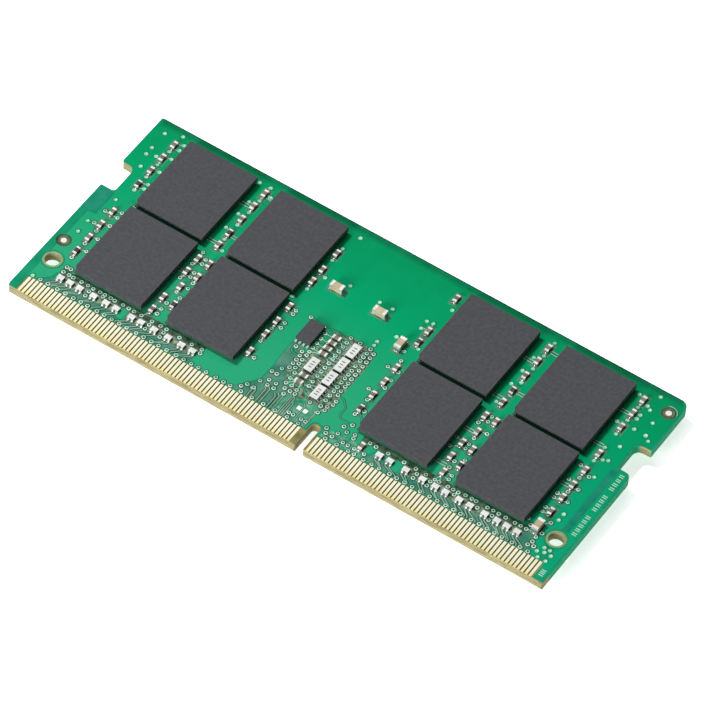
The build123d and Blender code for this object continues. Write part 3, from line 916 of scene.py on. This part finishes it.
# Crowded areas that show more lines than copper: name, finish and outlines
CROWDED_AREAS = (
    (
        "wiring",
        "mask_over_wiring",
        (
            (
                (32.9, 16.0), (35.3, 16.15), (36.9, 16.0), (38.2, 15.9), (38.35, 13.0), (38.25, 9.0),
                (38.4, 6.2), (37.7, 5.6), (36.9, 6.0), (35.4, 5.9), (34.3, 5.6), (33.0, 5.5), (32.3, 6.3),
                (31.9, 7.6), (31.2, 8.6), (31.25, 10.9), (32.3, 11.6), (32.4, 14.0),
            ),
        ),
    ),
    # This band lies under the lower packages and is darkened partly as their painted shadow
    (
        "via_row",
        "mask_over_via_row_and_shadow",
        (block(3.6, 4.93, 22.7, 5.66), block(43.4, 4.93, 64.6, 5.66)),
    ),
    (
        "pair_row",
        "mask_over_wiring",
        (block(3.75, 3.8, 11.95, 4.9), block(13.1, 3.8, 22.2, 4.9), block(49.1, 3.8, 64.4, 4.9)),
    ),
    (
        "lines",
        "mask_over_lines",
        (
            (
                (32.75, 2.78), (32.75, 5.35), (34.3, 5.45), (35.4, 5.75), (36.9, 5.85), (37.5, 5.4),
                (37.45, 2.78),
            ),
            ((39.35, 2.78), (39.5, 3.4), (40.2, 4.1), (41.6, 4.4), (43.2, 4.3), (44.3, 3.4), (44.6, 2.78)),
        ),
    ),
    (
        "strip",
        "mask_over_strip",
        (block(0.2, 14.05, 1.95, 17.8), block(67.5, 7.6, 68.2, 17.5)),
    ),
)
CROWDED_LIFT_MM = 0.001
# The same areas are quieter on the back, whose small parts lie elsewhere
BACK_AREA_FINISH = "mask_over_fan"


def add_copper_areas(face):
    """Copper areas that lift the mask, and the denser wiring in the middle of the card."""
    green = "mask_over_copper"
    dot = circle(RIGHT_DOT, DOT_CLEARANCE, 24)
    add_plate(f"copper_area_{face}", face, [main_pour(), dot], POUR_HEIGHT_MM, green)
    add_plate(f"copper_margin_{face}", face, [margin_pour()], POUR_HEIGHT_MM, green)
    add_plate(f"fan_area_{face}", face, FAN_AREAS, POUR_HEIGHT_MM / 2, "mask_over_fan")
    for name, low, high, finish in REAR_STRIPS:
        corners = [(REAR_CORNER - y / 2, y) for y in (low, high)]
        strip = [(REAR_LEFT, low), *corners, (REAR_LEFT, high)]
        add_plate(f"{name}_{face}", face, [strip], POUR_HEIGHT_MM / 2, finish)
    for name, finish, loops in CROWDED_AREAS:
        shown = finish if face == "front" else BACK_AREA_FINISH
        height = POUR_HEIGHT_MM + CROWDED_LIFT_MM
        add_plate(f"{name}_area_{face}", face, loops, height, shown)


def add_chip_shade_margins(face):
    """Darker margin round each chip part: the clearance in the copper, darkened as painted shade about the
    part.
    """
    relief = Relief(face)
    for kind in CHIP_KINDS:
        ends = [middle(box).xy for box in islands(f"{kind}_ends_{face}")]
        for low, high in islands(f"{kind}_bodies_{face}"):
            centre = ((low + high) / 2).xy
            end = min(ends, key=lambda place: (place - centre).length) - centre
            along = end.normalized()
            for index, (reach, height, _) in enumerate(CHIP_SHADE_MARGINS):
                half_length = end.length + CHIP_END_REACH_MM + reach
                width = min(high.x - low.x, high.y - low.y) + 2 * reach
                path = (centre - along * half_length, centre + along * half_length)
                add_ribbon(relief, path, width, height, 0.0, index)
    finishes = [finish for _, _, finish in CHIP_SHADE_MARGINS]
    relief.finish(f"chip_shade_margins_{face}", finishes, "solder_mask")


def add_dot_rings():
    """Dull laminate round each aiming dot, and the darker edge of the mask about it."""
    depth = thickness("solder_mask_front")
    dots = (LEFT_DOT, RIGHT_DOT)
    collars = [circle(dot, radius, 36) for dot in dots for radius in DOT_COLLAR_MM]
    margins = [circle(dot, radius, 36) for dot in dots for radius in DOT_MARGIN_MM]
    add_plate("dot_collars", "front", collars, GAP_FLOOR_MM, "dot_collar", -depth)
    height = INNER_MARGIN_HEIGHT_MM
    add_plate("dot_margins", "front", margins, height, "mask_round_chip")


def add_contact_gaps(face):
    """Floor between the contacts, painted dark as shade in the gaps."""
    loops = []
    for side in ("left", "right"):
        boxes = sorted(islands(f"contacts_{face}_{side}"), key=lambda box: box[0].x)
        for before, after in zip(boxes, boxes[1:]):
            left = before[1].x + GAP_INSET_MM
            right = after[0].x - GAP_INSET_MM
            loops.append(block(left, before[0].y, right, before[1].y))
    depth = thickness(f"contacts_{face}_left")
    add_plate(f"contact_gaps_{face}", face, loops, GAP_FLOOR_MM, "gap_shade", -depth)


# ---------------------------------------------------------------- traces and vias


def front_vias():
    """Places of every via on the front."""
    places = [(x, y) for x, ys in FRONT_VIA_COLUMNS for y in ys]
    places += [(x, y) for y, xs in FRONT_VIA_ROWS for x in xs]
    places += list(FRONT_SINGLE_VIAS)
    places += [(x, CONTACT_VIA_ROW) for x in LEFT_CONTACT_VIAS + RIGHT_CONTACT_VIAS]
    return places


def back_vias():
    """Vias of the back: the front's, where nothing is soldered over them."""
    blocked = []
    for kind in CHIP_KINDS + ARRAY_KINDS:
        blocked += islands(f"{kind}_ends_back") + islands(f"{kind}_bodies_back")
    places = []
    for x, y in front_vias():
        reach = VIA_RADIUS_MM
        if all(
            x < low.x - reach or x > high.x + reach or y < low.y - reach or y > high.y + reach
            for low, high in blocked
        ):
            places.append((x, y))
    return places


# Traces of the resistor pairs: places of the two, how far each may slant, and where it bends
PAIR_SHIFTS = (-0.25, 0.25)
PAIR_SLANTS = (0.75, 1.0, 1.25)
PAIR_START = 0.15
PAIR_DROP = 0.3
PAIR_BEND_Y = 2.95
# Pairs to the left of this line slant left, the others right
SLANT_SPLIT = 35


def fan_traces(face):
    """Traces that slant from the resistor pairs down to the contacts."""
    paths = []
    for low, high in islands(f"resistor_pair_bodies_{face}"):
        centre = (low.x + high.x) / 2
        lean = -1 if centre < SLANT_SPLIT else 1
        for shift in PAIR_SHIFTS:
            top = centre + shift
            foot = top + lean * random.choice(PAIR_SLANTS)
            upper = ((top, low.y - PAIR_START), (top, low.y - PAIR_DROP))
            paths.append((*upper, (foot, PAIR_BEND_Y), (foot, CONTACT_TOP)))
    return paths


# How much a via's size and place wander
VIA_SIZES = (0.92, 1.06)
VIA_SHIFTS = (-0.02, 0.02)
TRACE_FINISHES = ("mask_clearance", "mask_over_trace", "mask_over_copper", "mask_over_comb")


def add_wiring(face, vias, traces):
    """All traces and vias of one face."""
    lines = Relief(face)
    for finish, paths in traces.items():
        for path in paths:
            add_trace(lines, path, TRACE_FINISHES.index(finish))
    lines.finish(f"traces_{face}", TRACE_FINISHES, "solder_mask")
    rings = Relief(face)
    for x, y in vias:
        size = random.uniform(*VIA_SIZES)
        plugged = y > PLUGGED_ABOVE or not PLUGGED_LEFT_OF < x < PLUGGED_RIGHT_OF
        add_via(rings, x + random.uniform(*VIA_SHIFTS), y + random.uniform(*VIA_SHIFTS), size, plugged)
    rings.finish(f"vias_{face}", RING_FINISHES, "solder_mask")


# Traces of the resistor networks: start, straight part, range of reach, and how far each may bend
COMB_START = 0.15
COMB_STRAIGHT = 0.3
COMB_REACHES = (0.72, 0.9)
COMB_BENDS = (-0.16, 0.0, 0.16)


def comb_traces(face):
    """Short traces that fan out from the ends of the resistor networks."""
    paths = []
    bodies = islands(f"resistor_network_bodies_{face}")
    for end_box in islands(f"resistor_network_ends_{face}"):
        centre = middle(end_box)
        side = end_direction("resistor_network", end_box, bodies).x
        bend = random.choice(COMB_BENDS)
        start = centre.x + side * COMB_START
        reach = centre.x + side * random.uniform(*COMB_REACHES)
        straight = start + side * COMB_STRAIGHT
        paths.append(((start, centre.y), (straight, centre.y), (reach, centre.y + bend)))
    return paths


# A via nearer than this to a chip end is joined to it
STUB_REACH_MM = 1.2


def stub_traces(face, vias):
    """Short traces that join the vias to the chip ends beside them."""
    ends = []
    for kind in CHIP_KINDS:
        ends += [middle(box).xy for box in islands(f"{kind}_ends_{face}")]
    paths = []
    for via in vias:
        spot = Vector(via)
        end = min(ends, key=lambda place: (place - spot).length)
        if (end - spot).length < STUB_REACH_MM:
            paths.append((end, spot))
    return paths


DOT_TRACE_RADIUS = 0.95
DOT_TRACE_TURNS = (5, 115)
DOT_TRACE_STEPS = 12


def dot_trace():
    """Trace that curves round the right dot."""
    return arc(RIGHT_DOT, DOT_TRACE_RADIUS, *DOT_TRACE_TURNS, DOT_TRACE_STEPS)


def twin_traces():
    """The front's pairs of short level traces."""
    paths = []
    for y, left, right in TWIN_TRACES:
        paths.append(((left, y), (right, y)))
        paths.append(((left, y - TWIN_GAP), (right, y - TWIN_GAP)))
    return paths


def risers():
    """The front's upright traces, each with a slanting end."""
    slant = RISER_SLANT
    return [
        ((x, CONTACT_TOP), (x, top), (x - slant, top + slant))
        for x, top in zip(RISER_COLUMNS, RISER_TOPS)
    ]


# ---------------------------------------------------------------- solder


FILLET_REACH_MM = 0.13
FILLET_RISE = 0.62
FILLET_CURVE = 2.2
FILLET_TAPER = 0.12
FILLET_STEPS = 5
JOINT_LEVEL_MM = 0.03
FILLET_FOOT_MM = JOINT_LEVEL_MM * 0.5
# Chip fillets take the darker copy of solder, painted shade; array fillets the plain solder
FILLET_FINISHES = ("shaded_fillet_solder", "solder")


def add_fillet(relief, end_box, direction, finish):
    """Concave wedge of solder against the outer face of one chip end."""
    low, high = end_box
    centre = middle(end_box)
    if relief.face == "front":
        top = high.z - FACE_LEVEL["front"] / MM + CARD_CORNER.z / MM
    else:
        top = FACE_LEVEL["back"] / MM - low.z - CARD_CORNER.z / MM
    rise = (top - JOINT_LEVEL_MM) * FILLET_RISE
    across = Vector((-direction.y, direction.x))
    half_width = abs((high - low).xy.dot(across)) / 2
    half_depth = abs((high - low).xy.dot(direction)) / 2
    profile = []
    for step in range(FILLET_STEPS + 1):
        along = step / FILLET_STEPS
        out = half_depth + FILLET_REACH_MM * along
        height = JOINT_LEVEL_MM + rise * (1 - along) ** FILLET_CURVE
        narrowing = half_width * (1 - FILLET_TAPER * along)
        spot = centre.xy + direction * out
        left_spot = spot + across * narrowing
        right_spot = spot - across * narrowing
        profile.append(
            [
                relief.point(left_spot.x, left_spot.y, FILLET_FOOT_MM),
                relief.point(left_spot.x, left_spot.y, height),
                relief.point(right_spot.x, right_spot.y, height),
                relief.point(right_spot.x, right_spot.y, FILLET_FOOT_MM),
            ]
        )
    for inner, outer in zip(profile, profile[1:]):
        for side in range(3):
            relief.surface([inner[side], outer[side], outer[side + 1], inner[side + 1]], finish)
    tip = profile[-1]
    relief.surface([tip[0], tip[3], tip[2], tip[1]], finish)


def end_direction(kind, end_box, bodies):
    """Which way an end faces, away from the body that it belongs to."""
    centre = middle(end_box).xy
    body = min((middle(box).xy for box in bodies), key=lambda place: (place - centre).length)
    gap = centre - body
    if kind == "resistor_pair" or (kind != "resistor_network" and abs(gap.y) > abs(gap.x)):
        return Vector((0, math.copysign(1, gap.y)))
    return Vector((math.copysign(1, gap.x), 0))


def add_fillets(face):
    """Solder against every chip end on one face."""
    relief = Relief(face)
    for kind in CHIP_KINDS + ARRAY_KINDS:
        bodies = islands(f"{kind}_bodies_{face}")
        finish = FILLET_FINISHES.index("solder" if kind in ARRAY_KINDS else "shaded_fillet_solder")
        for end_box in islands(f"{kind}_ends_{face}"):
            add_fillet(relief, end_box, end_direction(kind, end_box, bodies), finish)
    relief.finish(f"solder_fillets_{face}", FILLET_FINISHES, "solder")


# ---------------------------------------------------------------- plain printed bars


BAR_LENGTH = 0.55
BAR_WIDTH = 0.1
MARGIN_BAR_CENTRE = 68.85
MARGIN_BAR_SHIFTS = (-0.13, 0.13)
MARGIN_BAR_CELLS = [17.2 - 0.68 * cell for cell in range(15) if cell not in (4, 9)] + [1.6, 1.1]
NETWORK_BAR_LENGTH = 0.4
NETWORK_BAR_WIDTH = 0.12
NETWORK_BAR_SHIFTS = (-0.4, 0, 0.4)


def add_margin_bars():
    """Plain bars along the right edge, where a card carries its board code."""
    loops = []
    for y in MARGIN_BAR_CELLS:
        for shift in MARGIN_BAR_SHIFTS:
            left = MARGIN_BAR_CENTRE - BAR_LENGTH / 2
            low = y + shift - BAR_WIDTH / 2
            loops.append(block(left, low, left + BAR_LENGTH, low + BAR_WIDTH))
    add_plate("margin_bars", "front", loops, PRINT_HEIGHT_MM, "print_pale")


def add_network_bars():
    """Three plain bars on each resistor network, where a value would be printed."""
    loops = []
    for box in islands("resistor_network_bodies_front"):
        centre = middle(box)
        left = centre.x - NETWORK_BAR_LENGTH / 2
        for shift in NETWORK_BAR_SHIFTS:
            low = centre.y + shift - NETWORK_BAR_WIDTH / 2
            loops.append(block(left, low, left + NETWORK_BAR_LENGTH, low + NETWORK_BAR_WIDTH))
    top = (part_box("resistor_network_bodies_front")[1].z - FACE_LEVEL["front"]) / MM
    height = NETWORK_PRINT_HEIGHT_MM
    add_plate("network_bars", "front", loops, height, "print_dark", top)


# ---------------------------------------------------------------- making


MATERIALS = make_materials()
add_camera()
add_floor()
add_world()
for light_name, light_place, light_size, light_power in LIGHTS:
    add_light(light_name, light_place, light_size, light_power)
dress_frame()
for card_face in ("front", "back"):
    add_copper_areas(card_face)
    add_chip_shade_margins(card_face)
    add_contact_gaps(card_face)
    add_fillets(card_face)
front_traces = {
    "mask_over_copper": FRONT_TRACES,
    "mask_over_trace": twin_traces() + [dot_trace()] + stub_traces("front", front_vias()),
    "mask_over_comb": risers() + fan_traces("front") + comb_traces("front"),
}
add_wiring("front", front_vias(), front_traces)
back_traces = {
    "mask_over_trace": stub_traces("back", back_vias()),
    "mask_over_comb": fan_traces("back") + comb_traces("back"),
}
add_wiring("back", back_vias(), back_traces)
add_dot_rings()
add_margin_bars()
add_network_bars()

bpy.context.scene.view_settings.view_transform = "Standard"
